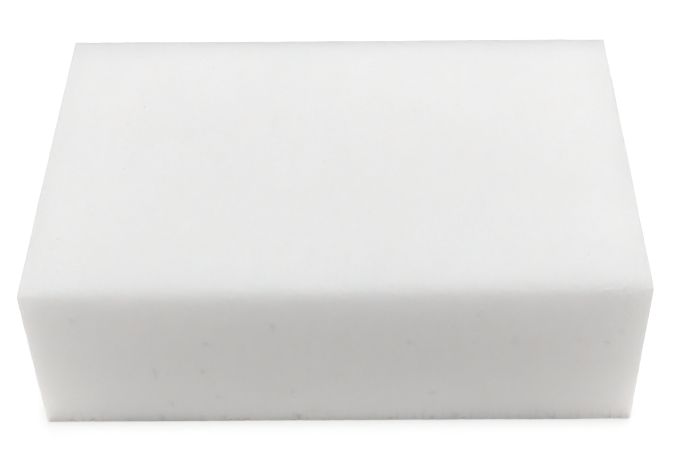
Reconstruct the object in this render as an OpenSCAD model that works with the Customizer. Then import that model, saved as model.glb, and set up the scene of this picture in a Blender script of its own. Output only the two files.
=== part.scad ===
// Cleaning sponge: one sawn block of white melamine foam.
// Millimetres. The origin is the middle of the underside, +X runs along the length,
// +Y to the back, and +Z up. The face towards -Y is the front.

/* [Block] */
// Length of the block, along X
block_length = 100; // [60:1:160]
// Width of the block, along Y
block_width = 65; // [40:1:110]
// Thickness of the block, along Z
block_thickness = 32; // [15:1:60]

/* [Sawn edges] */
// Radius that is left on all twelve edges of the cut foam
edge_radius = 0.3; // [0.2:0.1:2]

/* [Torn cells on the front face] */
// Width of a torn cell
pit_width = 0.6; // [0.3:0.1:1.2]
// Depth of a torn cell below the face
pit_depth = 0.35; // [0.2:0.05:0.6]
// Height of the longest run of torn cells
longest_pit = 2.4; // [1.2:0.1:4]

/* [Torn foot edge] */
// Width of the widest nick in the front foot edge
nick_width = 0.6; // [0.3:0.1:1.2]
// Depth of that nick below the front face
nick_depth = 0.4; // [0.2:0.05:0.6]
// Height of the tallest nick above the foot
nick_height = 2; // [1:0.1:4]

/* [Hidden] */
$fn = 48;

foam_white = [0.95, 0.95, 0.94];

// Each torn cell: its place along the front face and up it, as shares of the face,
// and its height as a share of the longest one
front_pits = [
    [-0.42, 0.82, 0.40],
    [-0.30, 0.40, 1.00],
    [-0.28, 0.16, 0.50],
    [-0.23, 0.04, 0.30],
    [-0.22, 0.42, 0.40],
    [-0.21, 0.63, 0.35],
    [-0.20, 0.21, 0.35],
    [-0.10, 0.75, 0.75],
    [-0.07, 0.24, 0.60],
    [-0.01, 0.04, 0.30],
    [0.12, 0.63, 0.40],
    [0.16, 0.23, 0.30],
    [0.23, 0.83, 0.35],
    [0.29, 0.63, 0.65],
    [0.44, 0.61, 0.30],
    [0.46, 0.69, 0.35]
];

// Each nick: its place along the front foot edge as a share of the length, its width and
// depth as a share of the widest one, and its height as a share of the tallest one
foot_nicks = [
    [-0.457, 0.8, 0.40],
    [-0.421, 1.0, 0.45],
    [-0.356, 0.8, 0.35],
    [-0.300, 0.6, 0.90],
    [-0.192, 0.6, 0.80],
    [-0.183, 0.9, 0.40],
    [-0.171, 0.7, 0.35],
    [-0.155, 1.0, 0.45],
    [-0.066, 0.9, 1.00],
    [0.091, 0.8, 0.40],
    [0.162, 0.7, 0.60],
    [0.203, 0.6, 0.95],
    [0.214, 0.8, 0.35],
    [0.366, 0.7, 0.45],
    [0.464, 0.7, 0.40],
    [0.478, 0.9, 0.35]
];

// Rectangle with four round corners, centred
module rounded_outline(size, radius) {
    square([size.x - 2 * radius, size.y], center = true);
    square([size.x, size.y - 2 * radius], center = true);
    for (x = [-1, 1], y = [-1, 1])
        translate([x * (size.x / 2 - radius), y * (size.y / 2 - radius)])
            circle(radius);
}

// Bar of that outline, standing along Z and centred
module rounded_bar(outline, length, radius) {
    linear_extrude(length, center = true)
        rounded_outline(outline, radius);
}

// The block as it leaves the knife: each bar rounds the four edges along its own axis
module sawn_block() {
    overrun = 2 * edge_radius;
    translate([0, 0, block_thickness / 2])
        intersection() {
            rounded_bar([block_length, block_width], block_thickness + overrun, edge_radius);
            rotate([0, 90, 0])
                rounded_bar([block_thickness, block_width], block_length + overrun, edge_radius);
            rotate([90, 0, 0])
                rounded_bar([block_length, block_thickness], block_width + overrun, edge_radius);
        }
}

// Upright groove with round ends in the face at y = 0, open towards -Y and centred on z = 0
module torn_groove(width, depth, height) {
    ball = width / 2;
    // On the face the groove would be half its width deep, so it is moved in or out from there
    sink = depth - ball;
    reach = max(0, height / 2 - ball);
    translate([0, sink, 0]) {
        cylinder(h = 2 * reach, r = ball, center = true);
        for (z = [-reach, reach])
            translate([0, 0, z])
                sphere(ball);
    }
}

module torn_cells() {
    for (pit = front_pits)
        translate([pit.x * block_length, -block_width / 2, pit.y * block_thickness])
            torn_groove(pit_width, pit_depth, pit.z * longest_pit);
}

// Grooves whose lower half is below the foot
module torn_foot() {
    for (nick = foot_nicks)
        translate([nick.x * block_length, -block_width / 2, 0])
            torn_groove(nick.y * nick_width, nick.y * nick_depth, 2 * nick.z * nick_height);
}

module foam_block() {
    color(foam_white)
        difference() {
            sawn_block();
            torn_cells();
            torn_foot();
        }
}

foam_block();
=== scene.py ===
# Cleaning sponge: the looks of one sawn block of white melamine foam, and the stage it lies on.
# Metres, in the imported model's frame: the origin is the middle of the underside, +X runs along
# the length, +Y to the back and +Z up. The face towards -Y is the front.

import math
import random

import bmesh
import bpy
from bpy.props import FloatProperty, FloatVectorProperty, IntProperty, PointerProperty
from mathutils import Matrix, Vector, noise


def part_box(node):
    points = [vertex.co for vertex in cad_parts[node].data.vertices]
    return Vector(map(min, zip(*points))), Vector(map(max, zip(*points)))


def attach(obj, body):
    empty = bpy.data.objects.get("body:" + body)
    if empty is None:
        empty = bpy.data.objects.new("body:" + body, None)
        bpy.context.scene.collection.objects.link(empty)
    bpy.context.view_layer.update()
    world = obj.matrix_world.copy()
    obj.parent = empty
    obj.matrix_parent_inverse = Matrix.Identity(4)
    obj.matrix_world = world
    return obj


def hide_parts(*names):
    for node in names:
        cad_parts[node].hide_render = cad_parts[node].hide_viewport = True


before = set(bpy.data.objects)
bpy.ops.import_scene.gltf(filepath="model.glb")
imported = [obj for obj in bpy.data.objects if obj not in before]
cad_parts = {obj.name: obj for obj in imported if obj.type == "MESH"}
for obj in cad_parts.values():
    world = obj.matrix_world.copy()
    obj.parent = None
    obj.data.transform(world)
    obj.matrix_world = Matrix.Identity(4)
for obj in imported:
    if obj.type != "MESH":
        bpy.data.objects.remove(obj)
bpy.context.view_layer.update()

bl_info = {
    "name": "Cleaning Sponge",
    "version": (1, 0, 0),
    "blender": (4, 5, 0),
    "location": "View3D > Sidebar > Sponge",
    "description": "A sawn block of white melamine foam on a pale studio floor",
    "category": "Object",
}

FOAM_NODE = "foam_block"
BAKE_MAP = "OFBake"
# The mesh attribute that holds how much painted shade each place on the front gets round torn cells and
# nicks
TORN_SHADE_MARK = "torn"
MM = 0.001
# Every run draws the same chance marks
CHANCE_SEED = 11
# Pinholes and crumbs keep this far from each other and from the torn cells and nicks
LEAST_SPACING = 1.6 * MM
# Rays that look for what is close by, each time a surface is shaded
NEARNESS_RAYS = 4

# The way across and the way up each side of the block, seen from outside
SIDE_AXES = {
    "front": (Vector((1, 0, 0)), Vector((0, 0, 1))),
    "back": (Vector((-1, 0, 0)), Vector((0, 0, 1))),
    "left": (Vector((0, -1, 0)), Vector((0, 0, 1))),
    "right": (Vector((0, 1, 0)), Vector((0, 0, 1))),
    "top": (Vector((1, 0, 0)), Vector((0, 1, 0))),
    "underside": (Vector((1, 0, 0)), Vector((0, -1, 0))),
}

# Each torn cell on the front: its place along the face and up it, as shares of the face,
# and its height as a share of the longest one
FRONT_CELLS = (
    (-0.42, 0.82, 0.40),
    (-0.30, 0.40, 1.00),
    (-0.28, 0.16, 0.50),
    (-0.23, 0.04, 0.30),
    (-0.22, 0.42, 0.40),
    (-0.21, 0.63, 0.35),
    (-0.20, 0.21, 0.35),
    (-0.10, 0.75, 0.75),
    (-0.07, 0.24, 0.60),
    (-0.01, 0.04, 0.30),
    (0.12, 0.63, 0.40),
    (0.16, 0.23, 0.30),
    (0.23, 0.83, 0.35),
    (0.29, 0.63, 0.65),
    (0.44, 0.61, 0.30),
    (0.46, 0.69, 0.35),
)

# Each nick: its place along the front foot edge as a share of the length, its width and
# depth as a share of the widest one, and its height as a share of the tallest one
FOOT_NICKS = (
    (-0.457, 0.8, 0.40),
    (-0.421, 1.0, 0.45),
    (-0.356, 0.8, 0.35),
    (-0.300, 0.6, 0.90),
    (-0.192, 0.6, 0.80),
    (-0.183, 0.9, 0.40),
    (-0.171, 0.7, 0.35),
    (-0.155, 1.0, 0.45),
    (-0.066, 0.9, 1.00),
    (0.091, 0.8, 0.40),
    (0.162, 0.7, 0.60),
    (0.203, 0.6, 0.95),
    (0.214, 0.8, 0.35),
    (0.366, 0.7, 0.45),
    (0.464, 0.7, 0.40),
    (0.478, 0.9, 0.35),
)

# Each soft lamp: its name, its place, its width and height, and the property with its level
SOFTBOXES = (
    ("overhead", (0.08, -0.02, 0.75), 0.7, 0.5, "overhead_level"),
    ("back", (0, 0.3, 0.16), 0.5, 0.15, "back_level"),
    ("left", (-0.6, -0.08, 0.12), 0.4, 0.2, "side_level"),
    ("right", (0.6, -0.08, 0.12), 0.4, 0.2, "side_level"),
    ("left_front", (-0.3, -0.25, 0.06), 0.2, 0.1, "left_front_level"),
    ("right_front", (0.3, -0.25, 0.06), 0.2, 0.1, "right_front_level"),
)


class SpongeShape(bpy.types.PropertyGroup):
    """Sizes of the sawn foam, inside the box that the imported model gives"""

    grid_step: FloatProperty(
        name="Grid step",
        description="Side of the small faces that the sawn surface is made of",
        default=0.62 * MM,
        min=0.5 * MM,
        max=5 * MM,
        precision=5,
        unit="LENGTH",
    )
    arris_radius: FloatProperty(
        name="Arris radius",
        description="Radius that is left on all twelve edges of the cut foam",
        default=0.3 * MM,
        min=0.1 * MM,
        max=2 * MM,
        precision=5,
        unit="LENGTH",
    )
    soft_reach: FloatProperty(
        name="Soft reach",
        description="How far from the top edge of the front the faces begin to roll over to it",
        default=3.0 * MM,
        min=0.1 * MM,
        max=4 * MM,
        precision=4,
        unit="LENGTH",
    )
    knife_twist: FloatProperty(
        name="Knife twist",
        description="How far the cut of the top face rises or falls at its corners",
        default=0.4 * MM,
        min=0,
        max=1 * MM,
        precision=5,
        unit="LENGTH",
    )
    knife_lean: FloatProperty(
        name="Knife lean",
        description="How far the left side leans in at its top; the front leans in by a part of that",
        default=0.42 * MM,
        min=0,
        max=1 * MM,
        precision=5,
        unit="LENGTH",
    )
    knife_wander: FloatProperty(
        name="Knife wander",
        description="How far the sawn faces swell and dip between their corners",
        default=0.07 * MM,
        min=0,
        max=0.5 * MM,
        precision=5,
        unit="LENGTH",
    )
    arris_fray: FloatProperty(
        name="Arris fray",
        description="How deep the foam has rubbed away here and there along its edges",
        default=0.06 * MM,
        min=0,
        max=0.3 * MM,
        precision=5,
        unit="LENGTH",
    )
    cell_width: FloatProperty(
        name="Torn cell width",
        description="Width of a torn cell on the front",
        default=0.75 * MM,
        min=0.2 * MM,
        max=1.2 * MM,
        precision=5,
        unit="LENGTH",
    )
    cell_depth: FloatProperty(
        name="Torn cell depth",
        description="Depth of a torn cell below the sawn face",
        default=0.25 * MM,
        min=0.1 * MM,
        max=0.6 * MM,
        precision=5,
        unit="LENGTH",
    )
    longest_cell: FloatProperty(
        name="Longest torn cell",
        description="Height of the longest run of torn cells",
        default=2.4 * MM,
        min=1.2 * MM,
        max=4 * MM,
        precision=5,
        unit="LENGTH",
    )
    nick_width: FloatProperty(
        name="Nick width",
        description="Width of the widest nick in the front foot edge",
        default=0.6 * MM,
        min=0.3 * MM,
        max=1.2 * MM,
        precision=5,
        unit="LENGTH",
    )
    nick_depth: FloatProperty(
        name="Nick depth",
        description="Depth of the widest nick below the front face",
        default=0.4 * MM,
        min=0.2 * MM,
        max=0.6 * MM,
        precision=5,
        unit="LENGTH",
    )
    nick_height: FloatProperty(
        name="Nick height",
        description="Height of the tallest nick above the foot",
        default=2.0 * MM,
        min=1 * MM,
        max=4 * MM,
        precision=5,
        unit="LENGTH",
    )
    pinhole_radius: FloatProperty(
        name="Pinhole radius",
        description="Radius of the largest pinhole in the sawn faces",
        default=0.26 * MM,
        min=0.1 * MM,
        max=0.5 * MM,
        precision=5,
        unit="LENGTH",
    )
    pinhole_spread: FloatProperty(
        name="Pinhole spread",
        description="Side of the square of sawn face that holds one pinhole",
        default=8 * MM,
        min=4 * MM,
        max=50 * MM,
        precision=4,
        unit="LENGTH",
    )
    torn_reach: FloatProperty(
        name="Torn reach",
        description="How far the roughened foam reaches from the middle of a torn cell",
        default=0.9 * MM,
        min=0.3 * MM,
        max=3 * MM,
        precision=5,
        unit="LENGTH",
    )
    crumb_radius: FloatProperty(
        name="Crumb radius",
        description="Radius of the largest crumb that is missing from the other edges",
        default=0.3 * MM,
        min=0.1 * MM,
        max=1 * MM,
        precision=5,
        unit="LENGTH",
    )
    edge_crumbs: IntProperty(
        name="Edge crumbs",
        description="Number of small crumbs missing from the edges all round",
        default=36,
        min=0,
        max=120,
    )


class SpongeFinish(bpy.types.PropertyGroup):
    """Colours, grain and painted shade of the melamine foam"""

    foam_colour: FloatVectorProperty(
        name="Foam colour",
        description="Colour of the foam's outermost struts",
        default=(0.93, 0.93, 0.93),
        min=0,
        max=1,
        subtype="COLOR",
    )
    # Painted shade in the hollows of the open cells, and a tone that differs at random in clumps, both
    # darken the foam towards this colour
    cell_shade_and_clump_colour: FloatVectorProperty(
        name="Pore colour",
        description="Colour deep in an open cell",
        default=(0.88, 0.88, 0.88),
        min=0,
        max=1,
        subtype="COLOR",
    )
    # Painted shade: the colour put round torn cells and nicks, in pits, in upright streaks along the foot,
    # and as a painted contact shadow in the crease along the foot
    painted_shade_colour: FloatVectorProperty(
        name="Crevice colour",
        description="Colour of the foam where cells are torn, and in the crease along its foot",
        default=(0.45, 0.44, 0.43),
        min=0,
        max=1,
        subtype="COLOR",
    )
    # Painted contact shadow: how much of the painted shade colour shows in the crease along the foot, beside
    # the floor
    foot_shadow_share: FloatProperty(
        name="Crevice share",
        description="How much of that colour shows in the deepest crease",
        default=0.78,
        min=0,
        max=1,
        subtype="FACTOR",
    )
    # Painted shade at the bottom of deep pits
    pit_shade_share: FloatProperty(
        name="Pit share",
        description="How much of that colour shows at the bottom of a deep pit",
        default=0.05,
        min=0,
        max=1,
        subtype="FACTOR",
    )
    crevice_reach: FloatProperty(
        name="Crevice reach",
        description="How far a crease's shade reaches out of it",
        default=0.7 * MM,
        min=0,
        max=5 * MM,
        precision=5,
        unit="LENGTH",
    )
    # Painted shade in short upright streaks along the foot, darker towards the foot
    fringe_shade_share: FloatProperty(
        name="Fringe share",
        description="How much of that colour shows in the upright tears along the foot",
        default=0.16,
        min=0,
        max=1,
        subtype="FACTOR",
    )
    fringe_height: FloatProperty(
        name="Fringe height",
        description="How far up the sides those tears reach",
        default=3.4 * MM,
        min=0,
        max=10 * MM,
        precision=4,
        unit="LENGTH",
    )
    # Painted shade round torn cells and nicks on the front
    torn_shade_share: FloatProperty(
        name="Torn share",
        description="How much of that colour shows in the middle of the widest nick",
        default=0.45,
        min=0,
        max=1,
        subtype="FACTOR",
    )
    scatter_depth: FloatProperty(
        name="Scatter depth",
        description="How far light travels through the foam before it turns",
        default=15 * MM,
        min=0,
        max=30 * MM,
        precision=4,
        unit="LENGTH",
    )
    cell_size: FloatProperty(
        name="Cell size",
        description="Width of one open cell of the foam",
        default=0.24 * MM,
        min=0.05 * MM,
        max=2 * MM,
        precision=5,
        unit="LENGTH",
    )
    cell_relief: FloatProperty(
        name="Cell relief",
        description="Depth of an open cell below its struts",
        default=0.05 * MM,
        min=0,
        max=0.5 * MM,
        precision=5,
        unit="LENGTH",
    )
    saw_relief: FloatProperty(
        name="Saw relief",
        description="Depth of the fine lines that the knife leaves up the sides",
        default=0.03 * MM,
        min=0,
        max=0.2 * MM,
        precision=5,
        unit="LENGTH",
    )


class SpongeStage(bpy.types.PropertyGroup):
    """Floor, lamps and camera"""

    floor_colour: FloatVectorProperty(
        name="Floor colour",
        description="Colour of the lit paper that the foam lies on",
        default=(1.0, 0.955, 0.915),
        min=0,
        max=1,
        subtype="COLOR",
    )
    floor_level: FloatProperty(
        name="Floor level",
        description="Light that comes up through the paper close to the block, as a share of full white",
        default=0.45,
        min=0,
        max=1,
        subtype="FACTOR",
    )
    floor_reach: FloatProperty(
        name="Floor reach",
        description="How far out from the block that light reaches",
        default=20 * MM,
        min=1 * MM,
        max=200 * MM,
        precision=4,
        unit="LENGTH",
    )
    floor_side_level: FloatProperty(
        name="Floor side level",
        description="Light that comes up through the paper beyond the block's two ends",
        default=0.306,
        min=0,
        max=1,
        subtype="FACTOR",
    )
    shadow_share: FloatProperty(
        name="Shadow share",
        description="How much of the foam's shadow shows on the white floor",
        default=0.35,
        min=0,
        max=1,
        subtype="FACTOR",
    )
    # Painted contact shadow: the floor's glow is dimmed right beside the foam
    contact_shadow_share: FloatProperty(
        name="Contact share",
        description="How much darker the floor is right beside the foam",
        default=0.35,
        min=0,
        max=1,
        subtype="FACTOR",
    )
    # How far the painted contact shadow reaches from the foam
    contact_reach: FloatProperty(
        name="Contact reach",
        description="How far that darker rim reaches from the foam",
        default=2.5 * MM,
        min=0,
        max=20 * MM,
        precision=4,
        unit="LENGTH",
    )
    sky_level: FloatProperty(
        name="Sky level",
        description="Light from all round, as a share of full white",
        default=0.02,
        min=0,
        max=1,
        subtype="FACTOR",
    )
    overhead_level: FloatProperty(
        name="Overhead level",
        description="Light from the lamp above, as a share of full white",
        default=0.785,
        min=0,
        max=2,
    )
    back_level: FloatProperty(
        name="Back level",
        description="Light from the low lamp behind the block, as a share of full white",
        default=0.55,
        min=0,
        max=2,
    )
    side_level: FloatProperty(
        name="Side level",
        description="Light from each lamp beside the block, as a share of full white",
        default=0.32,
        min=0,
        max=2,
    )
    left_front_level: FloatProperty(
        name="Left front level",
        description="Light from the low lamp before the left corner, as a share of full white",
        default=0.19,
        min=0,
        max=2,
    )
    right_front_level: FloatProperty(
        name="Right front level",
        description="Light from the low lamp before the right corner, as a share of full white",
        default=0.11,
        min=0,
        max=2,
    )
    camera_azimuth: FloatProperty(
        name="Camera azimuth",
        description="How far round to the right the camera stands",
        default=math.radians(2.1),
        subtype="ANGLE",
    )
    camera_elevation: FloatProperty(
        name="Camera elevation",
        description="How far above the horizon the camera stands",
        default=math.radians(44.5),
        subtype="ANGLE",
    )
    camera_roll: FloatProperty(
        name="Camera roll",
        description="How far the camera leans about its own line of sight",
        default=math.radians(-2.0),
        subtype="ANGLE",
    )
    camera_distance: FloatProperty(
        name="Camera distance",
        description="How far the camera stands from the point it looks at",
        default=231.7 * MM,
        min=50 * MM,
        unit="LENGTH",
    )
    camera_lens: FloatProperty(
        name="Camera lens",
        description="Focal length in millimetres, on a sensor 36 mm wide",
        default=75.3,
        min=10,
    )


class BlockSide:
    """One flat side of the block, with places on it measured from its middle."""

    def __init__(self, name, low, high):
        size = high - low
        self.name = name
        self.across, self.up = SIDE_AXES[name]
        self.outward = self.across.cross(self.up)
        self.width = abs(size.dot(self.across))
        self.height = abs(size.dot(self.up))
        self.centre = (low + high) / 2 + self.outward * abs(size.dot(self.outward)) / 2

    def place(self, across, up, out=0.0):
        """The point that lies that far across, up and out from the middle of the side."""
        return self.centre + self.across * across + self.up * up + self.outward * out

    def flat(self, point):
        """How far across and up from the middle of the side a point lies."""
        offset = point - self.centre
        return offset.dot(self.across), offset.dot(self.up)

    def depth(self, point):
        """How far inside the side a point lies."""
        return (self.centre - point).dot(self.outward)

    def turn(self):
        """The turn that stands a shape's Z on the side, with its X across and its Y up."""
        return Matrix((self.across, self.up, self.outward)).transposed().to_4x4()


def sawn_grid(low, high, step):
    """A closed box of small square faces."""
    size = high - low
    bm = bmesh.new()
    bmesh.ops.create_cube(bm, size=1.0)
    bmesh.ops.scale(bm, vec=size, verts=bm.verts)
    bmesh.ops.translate(bm, vec=(low + high) / 2, verts=bm.verts)
    for axis in range(3):
        along = [e for e in bm.edges if abs(e.verts[0].co[axis] - e.verts[1].co[axis]) > size[axis] / 2]
        cuts = max(0, round(size[axis] / step) - 1)
        bmesh.ops.subdivide_edges(bm, edges=along, cuts=cuts, use_grid_fill=True)
    return bm


def round_arrises(bm, radius):
    """Rounds every edge where two sides of the box meet."""
    arrises = [e for e in bm.edges if e.calc_face_angle() > math.radians(45)]
    bmesh.ops.bevel(
        bm,
        geom=arrises,
        offset=radius,
        offset_type="OFFSET",
        segments=4,
        profile=0.5,
        affect="EDGES",
        material=-1,
    )


def soften_top_edge(bm, low, high, shape):
    """Rolls the front and the top gently over to the edge that they share, and less at its ends."""
    # 2 makes a quarter circle, and more makes it start more gently and turn tighter in its middle
    squareness = 3
    # How much of the roll is left at the two ends, and how far from them it is whole
    end_share, end_reach = 0.25, 4.5 * MM
    reach = shape.soft_reach
    # The arris that is there already lies about this deep below the sharp edge
    arris_depth = 0.45 * shape.arris_radius
    for vert in bm.verts:
        forward, up = low.y + reach - vert.co.y, vert.co.z - (high.z - reach)
        if forward > 0 and up > 0:
            from_axis = math.hypot(forward, up)
            depth = from_axis * (reach / max(forward, up) - 1)
            roll = reach / (forward**squareness + up**squareness) ** (1 / squareness)
            pull = roll - max(0.0, depth - arris_depth) / from_axis
            inset = max(0.0, min(vert.co.x - low.x, high.x - vert.co.x) / end_reach)
            share = end_share + (1 - end_share) * math.sin(math.pi / 2 * min(1.0, inset))
            vert.co.y -= forward * (pull - 1) * share
            vert.co.z += up * (pull - 1) * share


def wander(bm, low, high, shape):
    """Moves the faces as an unsteady knife and a little handling leave them."""
    size = high - low
    middle = (low + high) / 2
    # The width of each kind of swelling, and its share of the whole wander
    swellings = ((15 * MM, 1), (3.5 * MM, 1 / 3), (1.3 * MM, 1 / 5))
    fray_width, fray_reach, fray_spread = 1.3 * MM, 0.5 * MM, 0.2
    # How much the front leans in beside the left side, in the middle of the block's length
    front_lean = 0.7
    bm.normal_update()
    moves = []
    for vert in bm.verts:
        move = Vector()
        for width, part in swellings:
            move += noise.noise_vector(vert.co / width) * shape.knife_wander * part
        inset = sorted(size[i] / 2 - abs(vert.co[i] - middle[i]) for i in range(3))
        nearness = math.exp(-max(0.0, inset[1]) / fray_reach)
        fray = max(0.0, noise.noise(vert.co / fray_width) + fray_spread)
        move -= vert.normal * fray * nearness * shape.arris_fray
        # From -0.5 to 0.5 along each side of the block
        along = [(vert.co[i] - middle[i]) / size[i] for i in range(3)]
        rise = along[2] + 0.5
        move.x += shape.knife_lean * (0.5 - along[0]) * rise
        move.y += shape.knife_lean * front_lean * (1 + along[0]) * (0.5 - along[1]) * rise
        move.z -= shape.knife_twist * 4 * along[0] * along[1] * rise
        moves.append(move)
    for vert, move in zip(bm.verts, moves):
        vert.co += move
        vert.co.z = max(vert.co.z, low.z)


def bite(cutter, place, turn, half_width, half_height, depth):
    """Adds one ragged egg to the cutter, a little proud of the face that it bites."""
    # The share of the egg's half depth that it is moved out of the face by
    proud = 0.25
    stretch = Matrix.Diagonal((half_width, half_height, depth, 1.0))
    lift = Matrix.Translation((0, 0, proud))
    made = bmesh.ops.create_icosphere(
        cutter, subdivisions=2, radius=1.0, matrix=Matrix.Translation(place) @ turn @ stretch @ lift
    )
    raggedness = 0.3 * half_width
    grain = 0.9 * half_width
    for vert in made["verts"]:
        vert.co += noise.noise_vector(vert.co / grain) * raggedness


def tear_front_cells(cutter, front, shape, taken):
    """The torn cells that show on the front."""
    for along, up, height in FRONT_CELLS:
        place = front.place(along * front.width, (up - 0.5) * front.height)
        half_height = max(height * shape.longest_cell, shape.cell_width) / 2
        bite(cutter, place, front.turn(), shape.cell_width / 2, half_height, shape.cell_depth)
        taken.append(place)


def tear_foot(cutter, front, shape, taken):
    """The upright nicks in the front foot edge."""
    for along, width, height in FOOT_NICKS:
        place = front.place(along * front.width, -front.height / 2)
        half_width, depth = width * shape.nick_width / 2, width * shape.nick_depth
        bite(cutter, place, front.turn(), half_width, height * shape.nick_height, depth)
        taken.append(place)


def prick_pinholes(cutter, sides, shape, taken, rng):
    """Pinholes all over the sawn faces, where a knife opened a larger cell."""
    margin = 1.5 * MM
    least_radius, usual_radius = 0.4, 0.5
    least_stretch, most_stretch = 0.8, 1.5
    depth_share = 0.8
    for side in sides:
        for _ in range(round(side.width * side.height / shape.pinhole_spread**2)):
            across = rng.uniform(margin - side.width / 2, side.width / 2 - margin)
            up = rng.uniform(margin - side.height / 2, side.height / 2 - margin)
            radius = shape.pinhole_radius * rng.triangular(least_radius, 1.0, usual_radius)
            stretch = rng.uniform(least_stretch, most_stretch)
            place = side.place(across, up)
            if min((place - other).length for other in taken) > LEAST_SPACING:
                bite(cutter, place, side.turn(), radius, stretch * radius, depth_share * radius)
                taken.append(place)


def chip_edges(cutter, sides, shape, taken, rng):
    """Small crumbs missing from the edges all round."""
    least_radius, most_stretch = 0.4, 1.8
    # Almost half of the edge to each side of its middle
    furthest = 0.48
    for _ in range(shape.edge_crumbs):
        side = rng.choice(sides)
        radius = shape.crumb_radius * rng.uniform(least_radius, 1.0)
        along = rng.uniform(-furthest, furthest) * side.width
        place = side.place(along, rng.choice((-0.5, 0.5)) * side.height)
        if min((place - other).length for other in taken) > LEAST_SPACING:
            bite(cutter, place, side.turn(), radius * rng.uniform(1.0, most_stretch), radius, radius)
            taken.append(place)


def mark_torn(bm, front, shape):
    """Marks how near each place on the front is to a torn cell or a nick, from 0 to 1, which sets how much
    painted shade it gets.
    """
    # A torn cell gets far less painted shade than the widest nick
    cell_shade_share = 0.22
    # Ragged bites reach a little deeper than they are meant to
    deepest = 1.2 * max(shape.cell_depth, shape.nick_depth)
    mark = bm.verts.layers.float.new(TORN_SHADE_MARK)
    torn = [
        (along * front.width, (up - 0.5) * front.height, height * shape.longest_cell / 2, cell_shade_share)
        for along, up, height in FRONT_CELLS
    ]
    torn += [
        (along * front.width, -front.height / 2, height * shape.nick_height, width)
        for along, width, height in FOOT_NICKS
    ]
    for vert in bm.verts:
        if front.depth(vert.co) > deepest:
            continue
        across, up = front.flat(vert.co)
        for middle_across, middle_up, half_height, share in torn:
            beside = across - middle_across
            beyond = max(0.0, abs(up - middle_up) + shape.cell_width / 2 - half_height)
            nearness = 1 - math.hypot(beside, beyond) / shape.torn_reach
            vert[mark] = max(vert[mark], share * nearness)


def mesh_object(name, bm):
    """A new object at the origin that takes over the bmesh."""
    mesh = bpy.data.meshes.new(name)
    bm.to_mesh(mesh)
    bm.free()
    obj = bpy.data.objects.new(name, mesh)
    bpy.context.scene.collection.objects.link(obj)
    return obj


def cut_away(obj, cutter):
    """Cuts the cutter out of the object's mesh, and deletes the cutter."""
    boolean = obj.modifiers.new("bites", "BOOLEAN")
    boolean.operation = "DIFFERENCE"
    boolean.solver = "MANIFOLD"
    boolean.object = cutter
    evaluated = obj.evaluated_get(bpy.context.evaluated_depsgraph_get())
    cut = bpy.data.meshes.new_from_object(evaluated)
    whole = obj.data
    obj.modifiers.clear()
    obj.data = cut
    cut.name = obj.name
    bpy.data.meshes.remove(whole)
    bpy.data.meshes.remove(cutter.data)


def unfold(bm, sides):
    """Lays the six sides out flat, side by side, on a map that the finish can be baked to."""
    gap = 1.2 * MM
    named = {side.name: side for side in sides}
    top, front, left = named["top"], named["front"], named["left"]
    column = top.width + gap
    # Where each side's lower left corner goes, and whether it is laid on its end
    layout = {
        "top": (0.0, 0.0, False),
        "underside": (0.0, top.height + gap, False),
        "right": (0.0, 2 * (top.height + gap), False),
        "front": (column, 0.0, True),
        "back": (column + front.height + gap, 0.0, True),
        "left": (column, front.width + gap, False),
    }
    extent = max(column + left.width, 2 * (top.height + gap) + left.height) + 2 * gap
    uv_map = bm.loops.layers.uv.new(BAKE_MAP)
    for face in bm.faces:
        middle = face.calc_center_median()
        side = min(sides, key=lambda s: s.depth(middle))
        left_edge, low_edge, on_end = layout[side.name]
        for loop in face.loops:
            across, up = side.flat(loop.vert.co)
            across += side.width / 2
            up += side.height / 2
            if on_end:
                across, up = side.height - up, across
            loop[uv_map].uv = ((gap + left_edge + across) / extent, (gap + low_edge + up) / extent)


class NodeTree:
    """Short calls that add and join the nodes of one material or world."""

    def __init__(self, owner):
        owner.use_nodes = True
        self.tree = owner.node_tree
        self.tree.nodes.clear()

    def add(self, kind, sockets=None, **settings):
        """Adds a node. sockets gives each input, by name or number, a value or another output."""
        node = self.tree.nodes.new(kind)
        for name, value in settings.items():
            setattr(node, name, value)
        for key, value in (sockets or {}).items():
            if isinstance(value, bpy.types.NodeSocket):
                self.tree.links.new(value, node.inputs[key])
            else:
                node.inputs[key].default_value = value
        return node

    def math(self, operation, *values, clamp=False):
        """The output of a Math node."""
        node = self.add("ShaderNodeMath", dict(enumerate(values)), operation=operation, use_clamp=clamp)
        return node.outputs[0]

    def fall(self, value, start, end):
        """1 up to start, and from there evenly down to 0 at end."""
        node = self.add(
            "ShaderNodeMapRange",
            {"Value": value, "From Min": start, "From Max": end, "To Min": 1.0, "To Max": 0.0},
        )
        return node.outputs["Result"]

    def openness(self, reach, only_local=False):
        """1 where nothing is within reach, and less the more is. only_local asks for the object alone."""
        node = self.add(
            "ShaderNodeAmbientOcclusion", {"Distance": reach}, samples=NEARNESS_RAYS, only_local=only_local
        )
        return node.outputs["AO"]

    def blend(self, share, first, second):
        """The colour that lies that share of the way from first to second."""
        node = self.add(
            "ShaderNodeMix", {"Factor": share, "A": first, "B": second}, data_type="RGBA"
        )
        return node.outputs["Result"]


def opaque(colour):
    """A colour property as the four numbers that a socket takes."""
    return (*colour, 1.0)


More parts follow.
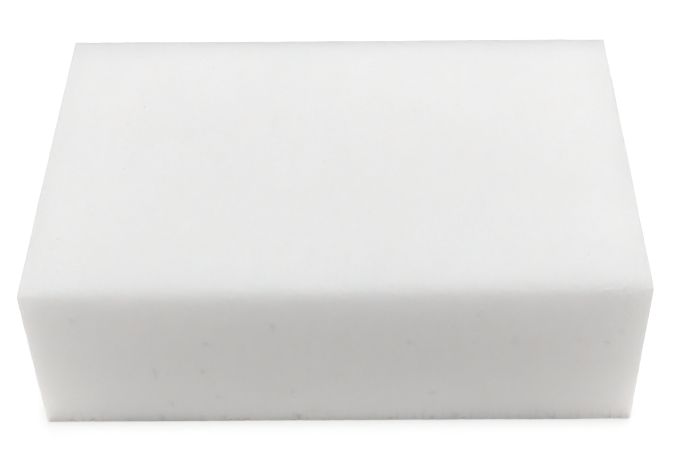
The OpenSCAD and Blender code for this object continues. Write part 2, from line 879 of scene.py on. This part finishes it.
def foam_material(finish):
    """Melamine foam: chalky white struts round very fine open cells, and light that sinks in."""
    material = bpy.data.materials.new("melamine_foam")
    nodes = NodeTree(material)
    place = nodes.add("ShaderNodeTexCoord").outputs["Object"]

    cells = nodes.add(
        "ShaderNodeTexVoronoi",
        {"Vector": place, "Scale": 1 / finish.cell_size, "Randomness": 1.0},
        feature="DISTANCE_TO_EDGE",
    ).outputs["Distance"]
    strut_share = 0.3
    hollow = nodes.add(
        "ShaderNodeMapRange",
        {"Value": cells, "From Min": 0.0, "From Max": strut_share, "To Min": 0.0, "To Max": 1.0},
        interpolation_type="SMOOTHSTEP",
    ).outputs["Result"]

    clump_size = 4 * finish.cell_size
    clumps = nodes.add(
        "ShaderNodeTexNoise",
        {"Vector": place, "Scale": 1 / clump_size, "Detail": 3.0, "Roughness": 0.6},
    ).outputs["Fac"]

    # Stretched upwards, so that it makes lines up the sides and only grain on the top
    line_gap, line_length = 0.7 * MM, 14 * MM
    stretched = nodes.add(
        "ShaderNodeMapping",
        {"Vector": place, "Scale": (1 / line_gap, 1 / line_gap, 1 / line_length)},
    ).outputs["Vector"]
    lines = nodes.add(
        "ShaderNodeTexNoise", {"Vector": stretched, "Scale": 1.0, "Detail": 2.0, "Roughness": 0.5}
    ).outputs["Fac"]

    relief = nodes.math("MULTIPLY", hollow, -finish.cell_relief)
    relief = nodes.math("MULTIPLY_ADD", clumps, 2 * finish.cell_relief, relief)
    relief = nodes.math("MULTIPLY_ADD", lines, finish.saw_relief, relief)
    bump = nodes.add("ShaderNodeBump", {"Height": relief, "Distance": 1.0, "Strength": 1.0})

    # Painted shade in the hollows of the open cells, with a tone that differs at random in clumps
    clump_tone, hollow_shade = 0.5, 0.35
    shade = nodes.math("MULTIPLY", hollow, hollow_shade)
    shade = nodes.math("MULTIPLY_ADD", clumps, clump_tone, shade, clamp=True)
    colour = nodes.blend(shade, opaque(finish.foam_colour), opaque(finish.cell_shade_and_clump_colour))

    # Painted contact shadow: the foot is darker where something else is close to it, such as the floor
    openness = nodes.openness(finish.crevice_reach)
    own_openness = nodes.openness(finish.crevice_reach, only_local=True)
    foot = nodes.math("SUBTRACT", own_openness, openness, clamp=True)
    # Painted shade in the pits, darker the more closed in they are
    pit = nodes.math("MULTIPLY_ADD", own_openness, -finish.pit_shade_share, finish.pit_shade_share)
    painted_shade = nodes.math("MULTIPLY_ADD", foot, finish.foot_shadow_share, pit)
    # Painted shade round the torn cells and nicks, from the mark on the mesh
    torn = nodes.add("ShaderNodeAttribute", attribute_name=TORN_SHADE_MARK).outputs["Fac"]
    painted_shade = nodes.math("MULTIPLY_ADD", torn, finish.torn_shade_share, painted_shade)

    # Painted shade in short upright streaks along the foot, where the knife left tears, darker towards the
    # foot
    tear_gap, tear_length = 0.9 * MM, 7 * MM
    # The noise from which a tear begins, and from which it is whole
    tear_start, tear_full = 0.54, 0.7
    # The part of the fringe's height up to which the tears are whole
    whole_part = 0.2
    upright = nodes.add(
        "ShaderNodeMapping",
        {"Vector": place, "Scale": (1 / tear_gap, 1 / tear_gap, 1 / tear_length)},
    ).outputs["Vector"]
    tears = nodes.add(
        "ShaderNodeTexNoise", {"Vector": upright, "Scale": 1.0, "Detail": 1.0, "Roughness": 0.5}
    ).outputs["Fac"]
    tears = nodes.add(
        "ShaderNodeMapRange", {"Value": tears, "From Min": tear_start, "From Max": tear_full}
    ).outputs["Result"]
    height = nodes.add("ShaderNodeSeparateXYZ", {0: place}).outputs["Z"]
    low_down = nodes.fall(height, whole_part * finish.fringe_height, finish.fringe_height)
    tears = nodes.math("MULTIPLY", tears, low_down)
    painted_shade = nodes.math("MULTIPLY_ADD", tears, finish.fringe_shade_share, painted_shade)
    # All of the painted shade above darkens the foam towards the painted shade colour
    colour = nodes.blend(painted_shade, colour, opaque(finish.painted_shade_colour))
    roughness = nodes.add(
        "ShaderNodeMapRange", {"Value": clumps, "To Min": 0.86, "To Max": 0.98}
    ).outputs["Result"]

    foam = nodes.add(
        "ShaderNodeBsdfPrincipled",
        {
            "Base Color": colour,
            "Roughness": roughness,
            "Normal": bump.outputs["Normal"],
            "Specular IOR Level": 0.15,
            "Subsurface Weight": 1.0,
            "Subsurface Radius": (1.0, 0.94, 0.88),
            "Subsurface Scale": finish.scatter_depth,
        },
    )
    nodes.add("ShaderNodeOutputMaterial", {"Surface": foam.outputs["BSDF"]})
    return material


def plain_view(nodes):
    """1 where the camera, a reflection or a glass sees the surface, and 0 for its other light."""
    path = nodes.add("ShaderNodeLightPath").outputs
    seen = nodes.math("MAXIMUM", path["Is Camera Ray"], path["Is Glossy Ray"])
    return nodes.math("MAXIMUM", seen, path["Is Transmission Ray"])


def floor_material(stage, high):
    """Lit paper that the camera sees as white, with part of the block's shadow on it."""
    material = bpy.data.materials.new("studio_floor")
    nodes = NodeTree(material)
    share = stage.shadow_share
    paper = nodes.add(
        "ShaderNodeBsdfDiffuse", {"Color": opaque(share * part for part in stage.floor_colour)}
    )
    # Painted contact shadow: the floor's glow is dimmed right beside the foam
    openness = nodes.openness(stage.contact_reach)
    rim = nodes.math("MULTIPLY_ADD", openness, stage.contact_shadow_share, 1 - stage.contact_shadow_share)
    place = nodes.add("ShaderNodeTexCoord").outputs["Object"]
    distance = nodes.add("ShaderNodeVectorMath", {0: place}, operation="LENGTH").outputs["Value"]
    parts = nodes.add("ShaderNodeSeparateXYZ", {0: place}).outputs

    # Light comes up through the paper round the block, and further out beyond its ends
    whole_part = 0.25
    end_blur = 15 * MM
    end_from, end_reach = 2 * high.x, 3.2 * high.x
    across = nodes.math("ABSOLUTE", parts["X"])
    beyond_x = nodes.math("MAXIMUM", nodes.math("SUBTRACT", across, high.x), 0.0)
    beyond_y = nodes.math("MAXIMUM", nodes.math("SUBTRACT", nodes.math("ABSOLUTE", parts["Y"]), high.y), 0.0)
    beyond = nodes.add("ShaderNodeCombineXYZ", {0: beyond_x, 1: beyond_y}).outputs[0]
    outside = nodes.add("ShaderNodeVectorMath", {0: beyond}, operation="LENGTH").outputs["Value"]
    close = nodes.fall(outside, whole_part * stage.floor_reach, stage.floor_reach)
    end = nodes.math("SUBTRACT", 1.0, nodes.fall(across, high.x - end_blur, high.x + end_blur))
    end = nodes.math("MULTIPLY", end, nodes.fall(distance, end_from, end_reach))
    level = nodes.math("MULTIPLY", close, stage.floor_level)
    level = nodes.math("MULTIPLY_ADD", end, stage.floor_side_level, level)
    level = nodes.math("MULTIPLY", level, rim)
    lit = nodes.add("ShaderNodeEmission", {"Color": opaque(stage.floor_colour), "Strength": level})
    paper = nodes.add("ShaderNodeAddShader", {0: paper.outputs[0], 1: lit.outputs[0]})

    # A little over full white, so that only the shadow's middle shows
    full = 1.08
    shadowed = nodes.add("ShaderNodeBsdfDiffuse", {"Color": (share, share, share, 1.0)})
    glow = nodes.add("ShaderNodeEmission", {"Strength": nodes.math("MULTIPLY", rim, full - share)})
    near = nodes.add("ShaderNodeAddShader", {0: shadowed.outputs[0], 1: glow.outputs[0]})
    white = nodes.add("ShaderNodeEmission", {"Strength": 1.0})

    # The shadow is kept near the block and fades out before the floor's edge
    kept = nodes.fall(distance, 90 * MM, 200 * MM)
    seen = nodes.add("ShaderNodeMixShader", {0: kept, 1: white.outputs[0], 2: near.outputs[0]})

    surface = nodes.add(
        "ShaderNodeMixShader", {0: plain_view(nodes), 1: paper.outputs[0], 2: seen.outputs[0]}
    )
    nodes.add("ShaderNodeOutputMaterial", {"Surface": surface.outputs[0]})
    return material


def lay_floor(stage, high):
    """A wide flat sheet under the block."""
    half_side = 1.5
    bm = bmesh.new()
    bmesh.ops.create_grid(bm, x_segments=1, y_segments=1, size=half_side)
    floor = mesh_object("studio_floor", bm)
    floor.data.materials.append(floor_material(stage, high))


def light_sky(stage):
    """Even light from all round, which the camera sees as white."""
    world = bpy.data.worlds.new("studio_sky")
    nodes = NodeTree(world)
    level = stage.sky_level
    light = nodes.add("ShaderNodeBackground", {"Color": (1, 1, 1, 1), "Strength": level})
    white = nodes.add("ShaderNodeBackground", {"Color": (1, 1, 1, 1), "Strength": 1.0})
    both = nodes.add(
        "ShaderNodeMixShader", {0: plain_view(nodes), 1: light.outputs[0], 2: white.outputs[0]}
    )
    nodes.add("ShaderNodeOutputWorld", {"Surface": both.outputs[0]})
    bpy.context.scene.world = world


def hang_softbox(name, place, aim, width, height, level):
    """A soft lamp. level is the share of full white that it gives a surface facing it at aim."""
    name += "_softbox"
    lamp = bpy.data.lights.new(name, "AREA")
    lamp.shape = "RECTANGLE"
    lamp.size = width
    lamp.size_y = height
    reach = (place - aim).length
    lamp.energy = level * math.pi**2 * reach**2
    obj = bpy.data.objects.new(name, lamp)
    obj.matrix_world = Matrix.Translation(place) @ (place - aim).to_track_quat("Z", "Y").to_matrix().to_4x4()
    obj.visible_camera = False
    bpy.context.scene.collection.objects.link(obj)


def stand_camera(stage, low, high):
    """The camera, where the photographer held it."""
    data = bpy.data.cameras.new("camera")
    data.sensor_width = 36
    data.lens = stage.camera_lens
    data.clip_start = 0.01
    camera = bpy.data.objects.new("camera", data)
    # The line of sight meets the top nearer the front than its middle, and a little to the right
    aim_right, aim_forward = 1.1 * MM, 17.9 * MM
    aim = Vector(((low.x + high.x) / 2 + aim_right, (low.y + high.y) / 2 - aim_forward, high.z))
    azimuth, elevation = stage.camera_azimuth, stage.camera_elevation
    back = Vector(
        (
            math.sin(azimuth) * math.cos(elevation),
            -math.cos(azimuth) * math.cos(elevation),
            math.sin(elevation),
        )
    )
    turn = back.to_track_quat("Z", "Y").to_matrix().to_4x4()
    lean = Matrix.Rotation(stage.camera_roll, 4, "Z")
    camera.matrix_world = Matrix.Translation(aim + back * stage.camera_distance) @ turn @ lean
    bpy.context.scene.collection.objects.link(camera)
    bpy.context.scene.camera = camera


class SPONGE_OT_foam_block(bpy.types.Operator):
    """Make the sawn foam block, with its torn cells, crumbled edges and finish"""

    bl_idname = "sponge.foam_block"
    bl_label = "Foam Block"

    def execute(self, context):
        shape = context.scene.sponge_shape
        low, high = (Vector(corner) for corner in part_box(FOAM_NODE))
        sides = [BlockSide(name, low, high) for name in SIDE_AXES]
        front = sides[0]

        # Unless it is given a seed, vector noise takes one from the clock
        noise.seed_set(CHANCE_SEED)
        bm = sawn_grid(low, high, shape.grid_step)
        round_arrises(bm, shape.arris_radius)
        block = mesh_object("melamine_block", bm)

        rng = random.Random(CHANCE_SEED)
        taken = []
        bites = bmesh.new()
        tear_front_cells(bites, front, shape, taken)
        tear_foot(bites, front, shape, taken)
        prick_pinholes(bites, sides, shape, taken, rng)
        chip_edges(bites, sides, shape, taken, rng)
        cut_away(block, mesh_object("bites", bites))

        bm = bmesh.new()
        bm.from_mesh(block.data)
        unfold(bm, sides)
        mark_torn(bm, front, shape)
        soften_top_edge(bm, low, high, shape)
        wander(bm, low, high, shape)
        bm.to_mesh(block.data)
        bm.free()
        block.data.shade_smooth()
        block.data.set_sharp_from_angle(angle=math.radians(40))
        block.data.materials.clear()
        block.data.materials.append(foam_material(context.scene.sponge_finish))
        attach(block, "root")
        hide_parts(FOAM_NODE)
        return {"FINISHED"}


class SPONGE_OT_stage(bpy.types.Operator):
    """Set the pale floor, the soft lamps and the camera"""

    bl_idname = "sponge.stage"
    bl_label = "Stage"

    def execute(self, context):
        stage = context.scene.sponge_stage
        low, high = (Vector(corner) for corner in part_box(FOAM_NODE))
        middle = (low + high) / 2
        lay_floor(stage, high)
        light_sky(stage)
        for name, place, width, height, level in SOFTBOXES:
            hang_softbox(name, Vector(place), middle, width, height, getattr(stage, level))
        stand_camera(stage, low, high)
        context.scene.view_settings.view_transform = "Standard"
        return {"FINISHED"}


class SPONGE_PT_panel(bpy.types.Panel):
    """The sponge's sizes, colours and stage"""

    bl_idname = "SPONGE_PT_panel"
    bl_label = "Cleaning Sponge"
    bl_space_type = "VIEW_3D"
    bl_region_type = "UI"
    bl_category = "Sponge"

    def draw(self, context):
        layout = self.layout
        scene = context.scene
        parts = (
            ("sponge.foam_block", (scene.sponge_shape, scene.sponge_finish)),
            ("sponge.stage", (scene.sponge_stage,)),
        )
        for operator, groups in parts:
            column = layout.column(align=True)
            for group in groups:
                for name in group.__annotations__:
                    column.prop(group, name)
            column.operator(operator)


CLASSES = (
    SpongeShape,
    SpongeFinish,
    SpongeStage,
    SPONGE_OT_foam_block,
    SPONGE_OT_stage,
    SPONGE_PT_panel,
)


def register():
    for cls in CLASSES:
        bpy.utils.register_class(cls)
    bpy.types.Scene.sponge_shape = PointerProperty(type=SpongeShape)
    bpy.types.Scene.sponge_finish = PointerProperty(type=SpongeFinish)
    bpy.types.Scene.sponge_stage = PointerProperty(type=SpongeStage)


def unregister():
    del bpy.types.Scene.sponge_stage
    del bpy.types.Scene.sponge_finish
    del bpy.types.Scene.sponge_shape
    for cls in reversed(CLASSES):
        bpy.utils.unregister_class(cls)


def main():
    register()
    bpy.ops.sponge.foam_block()
    bpy.ops.sponge.stage()


if __name__ == "__main__":
    main()
